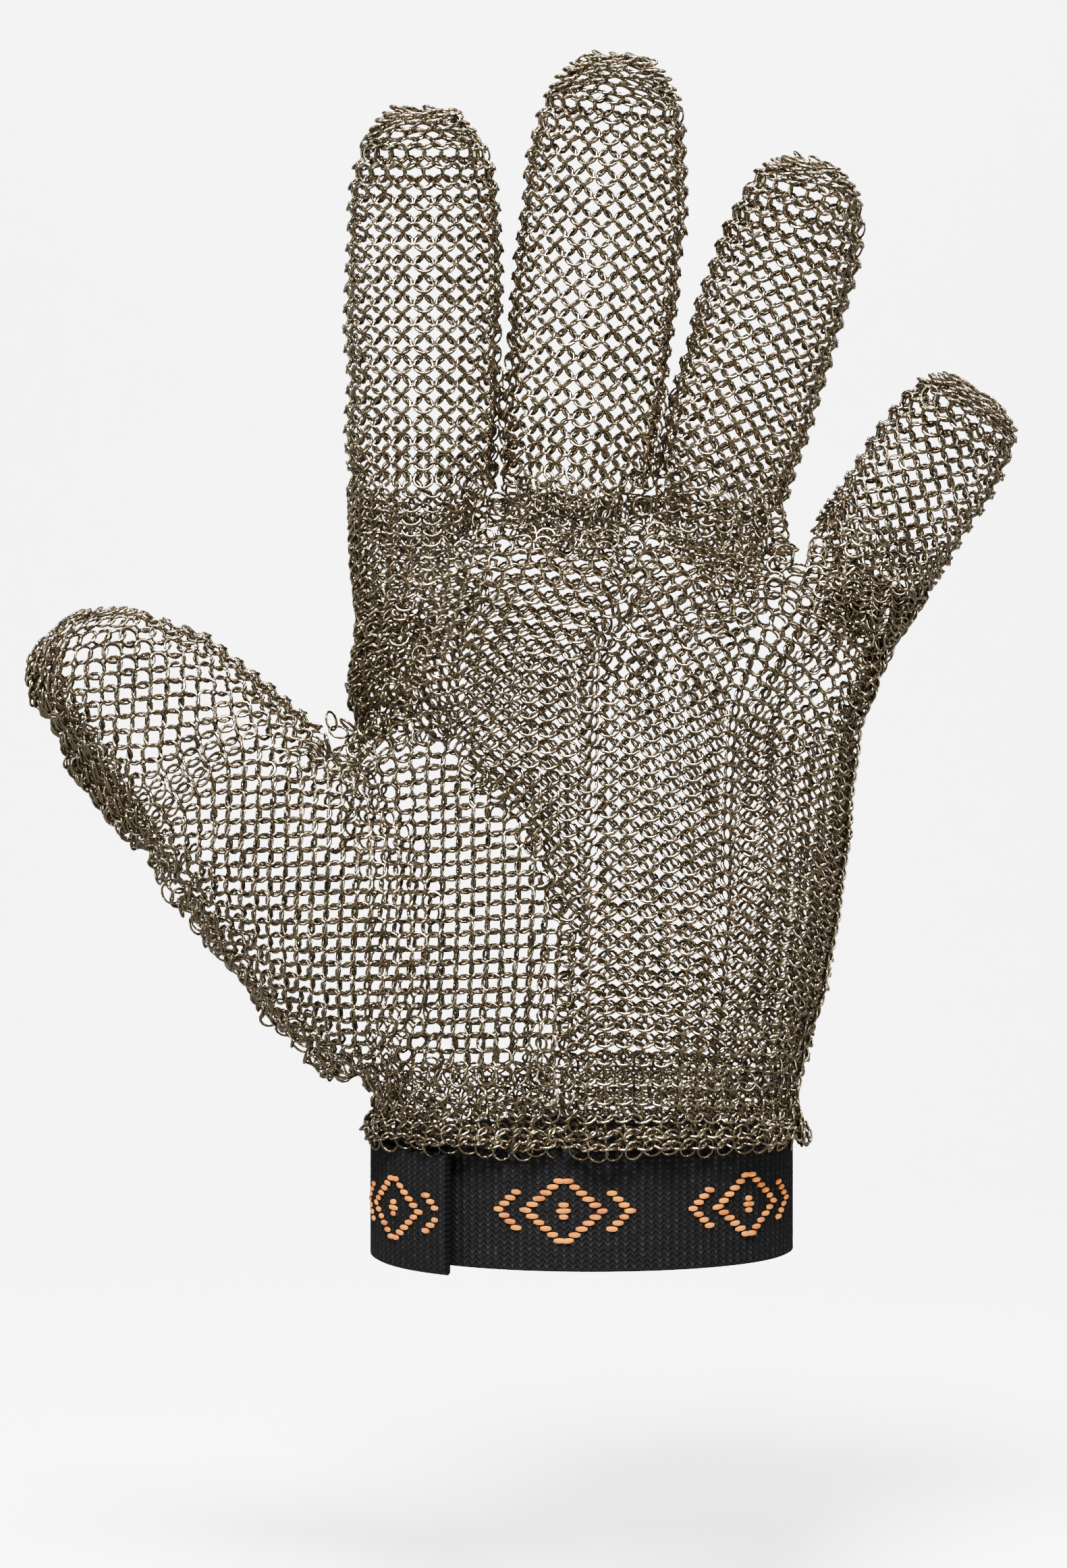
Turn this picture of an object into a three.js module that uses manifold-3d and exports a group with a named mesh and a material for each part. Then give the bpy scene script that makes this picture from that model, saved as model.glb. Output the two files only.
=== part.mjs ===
// A ring-mesh glove in the form it has when worn: a left hand, fingers up, palm to the front.
// Lengths are in millimetres. +Z runs up the hand, +Y out of its back, and -X to the thumb.
// The origin is the middle of the wrist opening, level with the strap's lower edge.
// The mail is one hollow wall, drawn as a hand bag and five stalls, and a woven strap holds it at
// the wrist. The bag is in two halves, palm and back, that meet along its side seams.
import * as THREE from "three";
import { mergeVertices } from "three/addons/utils/BufferGeometryUtils.js";
import Module from "manifold-3d";

const wasm = await Module();
wasm.setup();

// Driving dimensions
const pieceGap = 0.3; // clearance kept between neighbouring pieces
const mailWall = 1.8; // thickness of the ring mesh
const wristWidth = 76; // outer width of the mail where it meets the strap
const wristShift = 0.9; // how far the wrist's middle lies to the little finger's side
const wristDepth = 52; // outer depth there
const palmHeight = 109; // from the strap to the top of the palm
const thumbSideReach = 43.3; // from the hand's middle line to the index side of the palm
const littleSideReach = 49.2; // from the hand's middle line to the heel side of the palm
const palmDepth = 40; // front to back through the heel of the hand
const strapLoopWidth = 72.8; // across the band where it lies in one layer
const strapShift = 1.9; // how far the band's middle lies to the little finger's side
const strapWidth = 21;
const strapThickness = 1.5;
const strapTabDrop = 1.2; // how far the strap's free end hangs below the rest of the band
const strapTabAngle = 229; // where the free end stops, in degrees about +Z from the +X side
const strapOverlap = 65; // degrees that the free end covers of the band's first end
const patchThickness = 0.8;
const patchLength = 15; // along the strap
const patchHeight = 14;

const mailBottom = strapWidth + pieceGap;

// Cross-sections of the hand bag, from the strap to the knuckles.
// up is a share of palmHeight, thumbSide and littleSide are shares of their reaches, and
// front and back are shares of palmDepth. square is the power of the superellipse.
const palmSections = [
  { up: 0.2, thumbSide: 0.94, littleSide: 0.885, front: 0.6, back: 0.53, square: 2.3 },
  { up: 0.37, thumbSide: 0.985, littleSide: 0.96, front: 0.55, back: 0.5, square: 2.4 },
  { up: 0.52, thumbSide: 1.0, littleSide: 0.99, front: 0.5, back: 0.475, square: 2.5 },
  { up: 0.66, thumbSide: 0.985, littleSide: 1.025, front: 0.475, back: 0.45, square: 2.5 },
  { up: 0.8, thumbSide: 0.945, littleSide: 1.14, front: 0.45, back: 0.425, square: 2.5 },
  { up: 0.9, thumbSide: 0.92, littleSide: 1.12, front: 0.4, back: 0.38, square: 2.5 },
  { up: 0.96, thumbSide: 0.87, littleSide: 0.8, front: 0.3, back: 0.3, square: 2.4 },
  { up: 1.0, thumbSide: 0.7, littleSide: 0.58, front: 0.15, back: 0.15, square: 2.2 },
];

// Swellings (+) and folds (-) of the palm's front. across is a share of the reach on its side,
// up and tall are shares of palmHeight, wide is a share of thumbSideReach, lift one of palmDepth.
const palmRelief = [
  { name: "index and middle pad", across: -0.2, up: 0.86, wide: 0.27, tall: 0.11, lift: 0.1 },
  { name: "middle and ring pad", across: 0.3, up: 0.88, wide: 0.17, tall: 0.08, lift: 0.06 },
  { name: "ring and little pad", across: 0.62, up: 0.74, wide: 0.26, tall: 0.12, lift: 0.09 },
  { name: "palm hollow", across: 0.08, up: 0.46, wide: 0.4, tall: 0.2, lift: -0.07 },
  { name: "gather above the strap", across: -0.28, up: 0.16, wide: 0.1, tall: 0.2, lift: -0.09 },
  { name: "gather's raised side", across: -0.1, up: 0.14, wide: 0.1, tall: 0.17, lift: 0.06 },
];

// Digits. across and up place the middle of each stall's mouth, as a share of the reach on its
// side and of palmHeight. lean is in degrees from +Z towards +X. length runs from mouth to tip.
const digits = [
  { name: "index", across: -0.645, up: 1.05, lean: 0.2, length: 69, width: 29.3, depth: 24.5 },
  { name: "middle", across: -0.016, up: 1.06, lean: 5.7, length: 77.3, width: 31, depth: 25 },
  { name: "ring", across: 0.49, up: 1.04, lean: 16.9, length: 63.2, width: 27, depth: 24 },
  { name: "little", across: 1.045, up: 0.92, lean: 32, length: 38.8, width: 25.2, depth: 22 },
];

// Sections of a finger stall. along is a share of the stall's length from its mouth, and the part
// below 0 is the root inside the hand. width and depth are shares of the digit's, and
// forward is the curl towards the palm as a share of length.
const fingerSections = [
  { along: -0.45, width: 0.82, depth: 0.8, forward: 0.0 },
  { along: 0.0, width: 0.97, depth: 0.97, forward: -0.01 },
  { along: 0.22, width: 1.0, depth: 1.0, forward: -0.015 },
  { along: 0.42, width: 1.0, depth: 1.0, forward: -0.005 },
  { along: 0.6, width: 1.0, depth: 0.97, forward: 0.015 },
  { along: 0.74, width: 0.96, depth: 0.92, forward: 0.04 },
  { along: 0.84, width: 0.87, depth: 0.84, forward: 0.06 },
  { along: 0.92, width: 0.71, depth: 0.7, forward: 0.075 },
  { along: 0.968, width: 0.51, depth: 0.51, forward: 0.085 },
  { along: 0.993, width: 0.26, depth: 0.27, forward: 0.09 },
];

// The thumb. Its sections run from the heel of the hand to the tip, offset is the section's
// middle across the axis, towards the index finger, as a share of width.
const thumb = { name: "thumb", across: -1.37, up: 0.527, lean: -44.4, length: 47, width: 40, depth: 29 };
const thumbForward = 6; // the thumb's axis lies this far in front of the hand's middle plane
const thumbSections = [
  { along: -1.08, width: 0.62, depth: 0.9, offset: -0.15, forward: -0.02 },
  { along: -0.9, width: 1.0, depth: 1.2, offset: -0.08, forward: 0.02 },
  { along: -0.56, width: 1.08, depth: 1.32, offset: -0.03, forward: 0.05 },
  { along: -0.28, width: 1.06, depth: 1.24, offset: -0.005, forward: 0.06 },
  { along: 0.0, width: 1.0, depth: 1.08, offset: 0.01, forward: 0.08 },
  { along: 0.27, width: 0.93, depth: 1.0, offset: 0.02, forward: 0.1 },
  { along: 0.57, width: 0.83, depth: 0.94, offset: 0.03, forward: 0.13 },
  { along: 0.72, width: 0.71, depth: 0.85, offset: 0.005, forward: 0.15 },
  { along: 0.84, width: 0.575, depth: 0.72, offset: -0.01, forward: 0.16 },
  { along: 0.93, width: 0.41, depth: 0.54, offset: -0.025, forward: 0.17 },
  { along: 0.985, width: 0.2, depth: 0.28, offset: -0.03, forward: 0.17 },
];

// Where two digits part: up is the height of the crotch as a share of palmHeight.
const crotches = [
  { between: ["index", "middle"], up: 1.045 },
  { between: ["middle", "ring"], up: 1.045 },
  { between: ["ring", "little"], up: 0.965 },
];

const palmSides = 48;
const fingerSides = 20;
const thumbSides = 26;
const farAway = 200; // reaches past the whole glove, for cutters

// Closed solid through rings of points, with a fan over each end. Rings run counterclockwise
// seen from the far end, and the last point closes the end when a tip is given.
function loft(rings, tip) {
  const sides = rings[0].length;
  const points = rings.flat();
  const start = points.length;
  const middle = (ring) =>
    ring.reduce((sum, p) => sum.add(p), new THREE.Vector3()).divideScalar(ring.length);
  points.push(middle(rings[0]), tip ?? middle(rings[rings.length - 1]));
  const faces = [];
  for (let row = 0; row + 1 < rings.length; row++) {
    for (let side = 0; side < sides; side++) {
      const next = (side + 1) % sides;
      const [a, b] = [row * sides + side, row * sides + next];
      faces.push(a, b, b + sides, a, b + sides, a + sides);
    }
  }
  const lastRow = (rings.length - 1) * sides;
  for (let side = 0; side < sides; side++) {
    const next = (side + 1) % sides;
    faces.push(start, next, side);
    faces.push(start + 1, lastRow + side, lastRow + next);
  }
  return toSolid(new THREE.BufferGeometry().setFromPoints(points).setIndex(faces));
}

function toSolid(geometry) {
  geometry.deleteAttribute("normal");
  geometry.deleteAttribute("uv");
  const merged = mergeVertices(geometry, 1e-4);
  return new wasm.Manifold(
    new wasm.Mesh({
      numProp: 3,
      vertProperties: new Float32Array(merged.attributes.position.array),
      triVerts: new Uint32Array(merged.index.array),
    }),
  );
}

function toMesh(name, solid, material) {
  const mesh = solid.getMesh();
  const geometry = new THREE.BufferGeometry();
  geometry.setAttribute("position", new THREE.BufferAttribute(mesh.vertProperties, 3));
  geometry.setIndex(new THREE.BufferAttribute(mesh.triVerts, 1));
  geometry.computeVertexNormals();
  const piece = new THREE.Mesh(geometry, material);
  piece.name = name;
  return piece;
}

const unite = (solids) => solids.reduce((sum, solid) => sum.add(solid));
const signedPower = (value, power) => Math.sign(value) * Math.abs(value) ** power;

// Height of a share of the palm, and the place across it of a share of the reach on that side
const heightAt = (up) => mailBottom + up * palmHeight;
const acrossAt = (share) => share * (share < 0 ? thumbSideReach : littleSideReach);

// How far the palm's relief moves a front point outwards
function reliefAt(x, z) {
  return palmRelief.reduce((sum, bump) => {
    const sideways = (x - acrossAt(bump.across)) / (bump.wide * thumbSideReach);
    const upwards = (z - heightAt(bump.up)) / (bump.tall * palmHeight);
    return sum + bump.lift * palmDepth * Math.exp(-(sideways ** 2) - upwards ** 2);
  }, 0);
}

// One level section of the hand bag, its outline drawn in by inset
function palmRing(section, z, inset) {
  const ring = [];
  for (let side = 0; side < palmSides; side++) {
    const angle = (side / palmSides) * 2 * Math.PI;
    const reachX = (Math.cos(angle) < 0 ? section.left : section.right) - inset;
    const reachY = (Math.sin(angle) < 0 ? section.front : section.back) - inset;
    const x = reachX * signedPower(Math.cos(angle), 2 / section.square);
    const y = reachY * signedPower(Math.sin(angle), 2 / section.square);
    const frontness = Math.max(0, -Math.sin(angle));
    ring.push(new THREE.Vector3(x, y - frontness * reliefAt(x, z), z));
  }
  return ring;
}

// The hand bag's form. An inset form is the cavity, and it runs out through the wrist.
function palmForm(inset) {
  const wrist = {
    left: wristWidth / 2 - wristShift,
    right: wristWidth / 2 + wristShift,
    front: wristDepth / 2,
    back: wristDepth / 2,
    square: 2.15,
  };
  const opening = inset > 0 ? mailBottom - pieceGap : mailBottom;
  const wristEase = 0.06; // the cuff keeps the wrist's size up to this share of palmHeight
  const rings = [palmRing(wrist, opening, inset), palmRing(wrist, heightAt(wristEase), inset)];
  for (const row of palmSections) {
    const section = {
      left: row.thumbSide * thumbSideReach,
      right: row.littleSide * littleSideReach,
      front: row.front * palmDepth,
      back: row.back * palmDepth,
      square: row.square,
    };
    rings.push(palmRing(section, heightAt(row.up) - inset * row.up, inset));
  }
  return loft(rings);
}

// Axis and cross direction of a digit, in the front view
function digitFrame(digit) {
  const lean = THREE.MathUtils.degToRad(digit.lean);
  return {
    mouth: new THREE.Vector3(acrossAt(digit.across), 0, heightAt(digit.up)),
    axis: new THREE.Vector3(Math.sin(lean), 0, Math.cos(lean)),
    sideways: new THREE.Vector3(Math.cos(lean), 0, -Math.sin(lean)),
  };
}

// A digit's form through its sections, with a domed tip
function digitForm(digit, sections, sides, forward, inset) {
  const { mouth, axis, sideways } = digitFrame(digit);
  const placeAt = (along, offset, curl) =>
    mouth
      .clone()
      .addScaledVector(axis, along * digit.length)
      .addScaledVector(sideways, offset * digit.width)
      .add(new THREE.Vector3(0, -forward - curl * digit.length, 0));
  const rings = sections.map((row) => {
    const centre = placeAt(row.along, row.offset ?? 0, row.forward);
    centre.addScaledVector(axis, -inset * Math.max(0, row.along));
    const halfWidth = Math.max((row.width * digit.width) / 2 - inset, 0.5);
    const halfDepth = Math.max((row.depth * digit.depth) / 2 - inset, 0.5);
    const ring = [];
    for (let side = 0; side < sides; side++) {
      const angle = (side / sides) * 2 * Math.PI;
      const point = centre.clone().addScaledVector(sideways, halfWidth * Math.cos(angle));
      ring.push(point.add(new THREE.Vector3(0, halfDepth * Math.sin(angle), 0)));
    }
    return ring;
  });
  const last = sections[sections.length - 1];
  const tip = placeAt(1, last.offset ?? 0, last.forward).addScaledVector(axis, -inset);
  return loft(rings, tip);
}

// A cutter with the given outline in the front view, through the whole depth
function frontCutter(outline) {
  const shape = new THREE.Shape(outline.map(([x, z]) => new THREE.Vector2(x, z)));
  const block = new THREE.ExtrudeGeometry(shape, { depth: 2 * farAway, bevelEnabled: false });
  block.translate(0, 0, -farAway);
  block.rotateX(Math.PI / 2);
  return toSolid(block);
}

// Crotch points, each midway between its neighbours' edges at its height, with the mean lean
function crotchPoint({ between, up }) {
  const z = heightAt(up);
  const [left, right] = between.map((name) => digits.find((digit) => digit.name === name));
  const edge = (digit, sign) => {
    const { mouth, axis } = digitFrame(digit);
    const centre = mouth.x + ((z - mouth.z) * axis.x) / axis.z;
    return centre + (sign * digit.width) / 2 / axis.z;
  };
  return { x: (edge(left, 1) + edge(right, -1)) / 2, z, lean: (left.lean + right.lean) / 2 };
}

// The ends of the line along which a stall meets the hand: a crotch on each side, or the edge
function rootPoint(digit, sign) {
  const { mouth, sideways } = digitFrame(digit);
  const edge = mouth.clone().addScaledVector(sideways, sign * digit.width);
  return { x: edge.x, z: edge.z, lean: digit.lean + sign * 20 };
}

// A crotch moved along the sideways direction, carried far up its parting line as the head,
// and down into the hand along the digit's own axis as the heel
function partingLine(point, shift, digit) {
  const lean = THREE.MathUtils.degToRad(point.lean);
  const x = point.x + shift * Math.cos(lean);
  const z = point.z - shift * Math.sin(lean);
  const { axis } = digitFrame(digit);
  return {
    foot: [x, z],
    head: [x + farAway * Math.sin(lean), z + farAway * Math.cos(lean)],
    heel: [x - digit.length * axis.x, z - digit.length * axis.z],
  };
}

const rootPoints = [
  rootPoint(digits[0], -1),
  ...crotches.map(crotchPoint),
  rootPoint(digits[digits.length - 1], 1),
];

// Solids of the digits: the whole outer form, the cavity, and the stall above its root line
function fingerSolids(digit, index) {
  const [left, right] = [rootPoints[index], rootPoints[index + 1]];
  const raise = (point) => ({ ...point, z: point.z + pieceGap });
  const outerLeft = partingLine(raise(left), pieceGap / 2, digit);
  const outerRight = partingLine(raise(right), -pieceGap / 2, digit);
  const innerLeft = partingLine(left, mailWall + pieceGap / 2, digit);
  const innerRight = partingLine(right, -mailWall - pieceGap / 2, digit);
  const outer = digitForm(digit, fingerSections, fingerSides, 0, 0);
  const cavity = digitForm(digit, fingerSections, fingerSides, 0, mailWall).intersect(
    frontCutter([
      innerLeft.heel,
      innerRight.heel,
      innerRight.foot,
      innerRight.head,
      innerLeft.head,
      innerLeft.foot,
    ]),
  );
  const above = frontCutter([
    outerLeft.foot,
    outerRight.foot,
    outerRight.head,
    outerLeft.head,
  ]);
  return { outer, cavity, stall: outer.intersect(above).subtract(cavity) };
}

// The thumb parts from the hand along a line across its axis, at the crotch to the index finger
function thumbSolids() {
  const { mouth, axis, sideways } = digitFrame(thumb);
  const side = (share, along) =>
    mouth.clone().addScaledVector(sideways, share * thumb.width).addScaledVector(axis, along);
  const corner = (share, along) => {
    const point = side(share, along);
    return [point.x, point.z];
  };
  const crotchShare = 0.56;
  const region = (along) => [
    corner(-3, along),
    corner(crotchShare, along),
    corner(crotchShare + 0.35, farAway),
    corner(-3, farAway),
  ];
  const outer = digitForm(thumb, thumbSections, thumbSides, thumbForward, 0);
  const cavity = digitForm(thumb, thumbSections, thumbSides, thumbForward, mailWall);
  return {
    outer,
    cavity,
    region: frontCutter(region(0)),
    stall: outer.intersect(frontCutter(region(pieceGap))).subtract(cavity),
  };
}

// The strap: one band round the wrist whose free end laps over its first end
const overlapLift = strapThickness + patchThickness + 2 * pieceGap;
const strapStart = strapTabAngle - strapOverlap;
const strapEnd = strapTabAngle + 360;
const rampDegrees = 45; // the band climbs over its first end within this angle

function strapPoint(degrees, outwards) {
  const climb = THREE.MathUtils.smoothstep(degrees, strapStart + 360 - rampDegrees, strapStart + 358);
  const angle = THREE.MathUtils.degToRad(degrees);
  const lift = climb * overlapLift + outwards;
  const halfWidth = strapLoopWidth / 2 - strapThickness;
  const halfDepth = wristDepth / 2 - pieceGap - strapThickness;
  const normal = new THREE.Vector2(
    Math.cos(angle) / halfWidth,
    Math.sin(angle) / halfDepth,
  ).normalize();
  return new THREE.Vector2(
    strapShift + halfWidth * Math.cos(angle) + normal.x * lift,
    halfDepth * Math.sin(angle) + normal.y * lift,
  );
}

// A rectangle of the strap's section at one angle, as a ring for the loft
function strapRing(degrees, low, high, inside, outside) {
  const [inner, outer] = [strapPoint(degrees, inside), strapPoint(degrees, outside)];
  return [
    new THREE.Vector3(inner.x, inner.y, low),
    new THREE.Vector3(inner.x, inner.y, high),
    new THREE.Vector3(outer.x, outer.y, high),
    new THREE.Vector3(outer.x, outer.y, low),
  ];
}

function strapSolid() {
  const steps = 90;
  const rings = [];
  for (let step = 0; step <= steps; step++) {
    const degrees = THREE.MathUtils.lerp(strapStart, strapEnd, step / steps);
    const drop = strapTabDrop * THREE.MathUtils.smoothstep(degrees, strapEnd - 130, strapEnd);
    rings.push(strapRing(degrees, -drop, strapWidth - drop, 0, strapThickness));
  }
  return loft(rings);
}

// The hook patch between the two layers, just behind the free end
function patchSolid() {
  const radius = (strapLoopWidth + wristDepth) / 4;
  const span = THREE.MathUtils.radToDeg(patchLength / radius);
  const middle = (strapWidth - strapTabDrop) / 2;
  const back = 6; // degrees between the free end and the patch
  const rings = [];
  const steps = 6;
  for (let step = 0; step <= steps; step++) {
    const degrees = strapTabAngle - back - span * (1 - step / steps);
    const inside = strapThickness + pieceGap;
    rings.push(
      strapRing(
        degrees,
        middle - patchHeight / 2,
        middle + patchHeight / 2,
        inside,
        inside + patchThickness,
      ),
    );
  }
  return loft(rings);
}

// Materials
const steel = new THREE.MeshStandardMaterial({ color: 0xa49c8c, roughness: 0.32, metalness: 1 });
const webbing = new THREE.MeshStandardMaterial({ color: 0x0b0b0c, roughness: 0.85, metalness: 0 });
const hookTape = new THREE.MeshStandardMaterial({ color: 0x17171a, roughness: 0.9, metalness: 0 });

// Assembly
const fingers = digits.map(fingerSolids);
const thumbParts = thumbSolids();
const handRegion = frontCutter([
  [rootPoints[0].x, -farAway],
  [farAway, -farAway],
  [farAway, rootPoints[rootPoints.length - 1].z],
  ...rootPoints.map((point) => [point.x, point.z]).reverse(),
]).add(
  frontCutter([
    [-farAway, -farAway],
    [rootPoints[0].x + 1, -farAway],
    [rootPoints[0].x + 1, rootPoints[0].z],
    [-farAway, rootPoints[0].z],
  ]),
);
const handBag = unite([palmForm(0), thumbParts.outer, ...fingers.map((finger) => finger.outer)])
  .intersect(handRegion)
  .subtract(thumbParts.region)
  .subtract(unite([palmForm(mailWall), thumbParts.cavity, ...fingers.map((finger) => finger.cavity)]));


// The half of the hand bag on one side of its seams: -1 is the palm's, 1 the back's
function halfBag(side) {
  const block = new THREE.BoxGeometry(2 * farAway, farAway, 2 * farAway);
  block.translate(0, (side * (farAway + pieceGap)) / 2, 0);
  return handBag.intersect(toSolid(block));
}

const glove = new THREE.Group();
glove.name = "glove";
glove.add(toMesh("palm_mail", halfBag(-1), steel));
glove.add(toMesh("back_mail", halfBag(1), steel));
glove.add(toMesh("thumb_mail", thumbParts.stall, steel));
digits.forEach((digit, index) => {
  glove.add(toMesh(`${digit.name}_mail`, fingers[index].stall, steel));
});
glove.add(toMesh("wrist_strap", strapSolid(), webbing));
glove.add(toMesh("hook_patch", patchSolid(), hookTape));

export default glove;
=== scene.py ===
import math
from itertools import groupby

import bpy
import numpy as np
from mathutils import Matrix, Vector
from mathutils.bvhtree import BVHTree
from numpy.linalg import norm


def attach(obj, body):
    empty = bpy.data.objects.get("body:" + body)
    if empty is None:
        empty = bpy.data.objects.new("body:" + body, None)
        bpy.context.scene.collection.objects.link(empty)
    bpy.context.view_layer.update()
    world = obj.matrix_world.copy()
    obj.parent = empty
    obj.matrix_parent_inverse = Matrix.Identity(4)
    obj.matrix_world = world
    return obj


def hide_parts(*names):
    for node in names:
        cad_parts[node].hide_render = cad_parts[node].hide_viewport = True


bl_info = {
    "name": "Ring mesh glove",
    "version": (1, 0, 0),
    "blender": (4, 5, 0),
    "location": "View3D > Sidebar > Glove",
    "description": "Dresses a ring mesh glove with linked steel rings and a woven wrist strap",
    "category": "Object",
}

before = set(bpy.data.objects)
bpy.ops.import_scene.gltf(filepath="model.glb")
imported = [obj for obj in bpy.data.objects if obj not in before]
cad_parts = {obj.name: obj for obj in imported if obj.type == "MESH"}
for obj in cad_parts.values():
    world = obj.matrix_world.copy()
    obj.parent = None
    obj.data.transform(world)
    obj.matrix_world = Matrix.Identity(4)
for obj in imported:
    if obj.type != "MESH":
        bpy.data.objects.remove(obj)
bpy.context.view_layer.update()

# Lengths in the functions below are in millimetres, and MM brings them to metres.
MM = 0.001
# Further off than any place on the glove.
FAR = 400.0
SEED = 11

# Where the picture is taken from. The mesh's rows lie in planes through this point, so that
# the rings of the palm and of the back stand behind each other, as they hang in a flat glove.
EYE = np.array([-8.18, -520.0, 83.4])
# Between these heights the planes turn from level, at the wrist, to meeting the eye.
LEVEL_TO_EYE = (23, 38)

HAND_NODES = ("palm_mail", "back_mail")
STALL_NODES = ("thumb_mail", "index_mail", "middle_mail", "ring_mail", "little_mail")

# Stalls as seen from the front: the mouth's middle (x, z), the lean from upright towards the
# little finger in degrees, the length up to the tip and the number of rings round.
STALLS = {
    "index": dict(mouth=(-27.93, 135.75), lean=0.2, length=69.0, round=20),
    "middle": dict(mouth=(-0.69, 136.84), lean=5.7, length=77.3, round=20),
    "ring": dict(mouth=(24.11, 134.66), lean=16.9, length=63.2, round=20),
    "little": dict(mouth=(51.41, 121.58), lean=32.0, length=38.8, round=18),
}
THUMB = dict(mouth=(-59.32, 78.74), lean=-44.4, length=47.0, round=28)

# The line where the finger stalls start, as (x, z) from the index side to the little side.
ROOT_LINE = [(-60, 135.6), (-13.6, 135.4), (11.5, 135.2), (36.2, 126.5), (73, 108.0)]

# The thumb's own mesh runs down to the wrist. Seen from the front, it ends at this line.
THUMB_SEAM = [(-44.5, 92.0), (-33.0, 94.0), (-24.0, 90.5), (-15.5, 82.0), (-8.5, 73.5)]
THUMB_SEAM += [(-4.0, 65.0), (-2.2, 55.0), (-2.6, 38.0), (-4.5, 10.0)]
# With these places past the glove's edge, it closes round the thumb's side.
THUMB_FAR = [(-80.0, 10.0), (-130.0, 110.0), (-80.0, 150.0)]

# Folds: a line of (x, z) points, how deep it sinks and how wide it is.
PALM_FOLDS = [
    ([(-14, 135), (-22, 126), (-29, 114), (-34, 102), (-41, 95)], 1.9, 2.6),
    ([(10, 134), (8, 122), (6.5, 103)], 1.7, 2.2),
    ([(13.5, 130), (12, 106)], -1.0, 2.6),
    ([(36, 126), (30, 119), (19, 114)], 1.9, 2.2),
    ([(36, 125), (46, 116), (56, 104)], 1.5, 2.4),
    ([(-42, 97), (-31, 98), (-20, 95.5)], 1.6, 1.8),
    ([(-12, 133), (0, 129.5), (9, 133)], 1.4, 2.0),
    ([(13, 133), (24, 127.5), (34, 126)], 1.4, 2.0),
]
BACK_FOLDS = [
    ([(-14, 134), (-16, 120)], 1.0, 2.2),
    ([(11, 134), (10, 116)], 1.0, 2.2),
    ([(36, 125), (32, 112)], 1.0, 2.2),
    ([(-42, 95), (-28, 92), (-14, 80)], 1.0, 2.0),
]
# Where two fingers part, as (x, z).
CROTCHES = [(-13.6, 135.0), (11.2, 135.0), (36.2, 126.3)]

# How far above its mouth a stall's first row lies.
ROOT_GAP = 2.3
THUMB_GAP = 3.0
# Distance between rows.
FINGER_PITCH = 1.8
THUMB_PITCH = 1.8
# Heights of the hand's lowest row, of the lowest ring kept, and of the solid's lower edge.
WRIST_ROW = 21.2
WRIST_KEPT = 20.6
WRIST_EDGE = 21.6
# Below this the hand's own level rows run on round the thumb's root.
WRIST_BAND = 31.5
# Above this the hand's rings belong to the upper pieces, below it to the heel's.
HEEL_TOP = 84
# Below this the mail sinks along the thumb's seam.
SEAM_TOP = 96
# Levels per row where the thumb's root is measured.
FINE = 4

# Ring columns on a finger's front, columns round the hand, rows up it, and the column that
# meets the thumb's seam.
FINGER_COLUMNS = 7
PALM_ROUND = 61
HAND_ROWS = 86
SEAM_COLUMN = 12.5
# The hand's left edge is this column.
LEFT_COLUMN = -2.0

# For each distance between the rings of a row: a ring's turn and lean in degrees, opposite
# from row to row, and its nod, the same in all.
PITCH_ACROSS = [1.6, 2.0, 2.4, 2.8, 3.05, 3.25, 3.6, 3.85, 4.05, 4.4]
RING_TURN = [18, 14, 12, 10, 18, 31, 31, 26, 24, 24]
RING_LEAN = [32, 34, 38, 36, 26, 11, 9, 4, 1, 0]
RING_NOD = [0, 0, 0, 3, 5, 6, 4, 1, 0, 0]
# How far the rings' middles lie under the surface.
RING_INSET = 1.0
# Scatter of a ring's turn and lean in degrees and of its place: at rest, and more where loose.
ANGLE_SCATTER = (2.0, 12)
PLACE_SCATTER = (0.03, 0.14)


# ---- surface of the mail
def surface_tree(names):
    """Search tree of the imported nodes' surfaces, in millimetres."""
    points, faces = [], []
    for name in names:
        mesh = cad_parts[name].data
        start = len(points)
        points += [tuple(v.co / MM) for v in mesh.vertices]
        faces += [tuple(start + i for i in p.vertices) for p in mesh.polygons]
    return BVHTree.FromPolygons(points, faces)


def cut(tree, at, across, low, high, step=0.6, open_end=7):
    """The outline where a plane through the eye cuts the mail, level at the wrist: places
    across in the middle plane, the front and back points met on the way through each, and the
    lengths up to them. An end more than open_end thick stays open."""

    def probe(w):
        target = np.array([at[0] + w * across[0], 0.0, at[1] + w * across[1]])
        eye = EYE.copy()
        eye[2] = target[2] + (EYE[2] - target[2]) * smoothstep(target[2], *LEVEL_TO_EYE)
        way = target - eye
        way /= norm(way)
        front = tree.ray_cast(Vector(eye), Vector(way))[0]
        if front is None:
            return None
        back = tree.ray_cast(Vector(target + way * FAR), Vector(-way))[0]
        return None if back is None else (w, np.array(front), np.array(back))

    hits = [hit for hit in map(probe, np.arange(low, high, step)) if hit]
    if len(hits) < 4:
        return None
    for end, sign in ((0, -1), (-1, 1)):
        on, off, edge = hits[end][0], hits[end][0] + sign * step, hits[end]
        for _ in range(6):
            middle = (on + off) / 2
            hit = probe(middle)
            if hit:
                on, edge = middle, hit
            else:
                off = middle
        meet = (edge[1] + edge[2]) / 2
        if norm(edge[1] - edge[2]) > open_end:
            continue
        hits.insert(0 if sign < 0 else len(hits), (edge[0] + sign * 0.01, meet, meet))
    places, front, back = (np.array(column) for column in zip(*hits))
    return places, front, back, mean_arc(front, back)


def mean_arc(front, back):
    """Length across a cut, as the mean of its front and its back."""
    return (arc(front) + arc(back)) / 2


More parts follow.
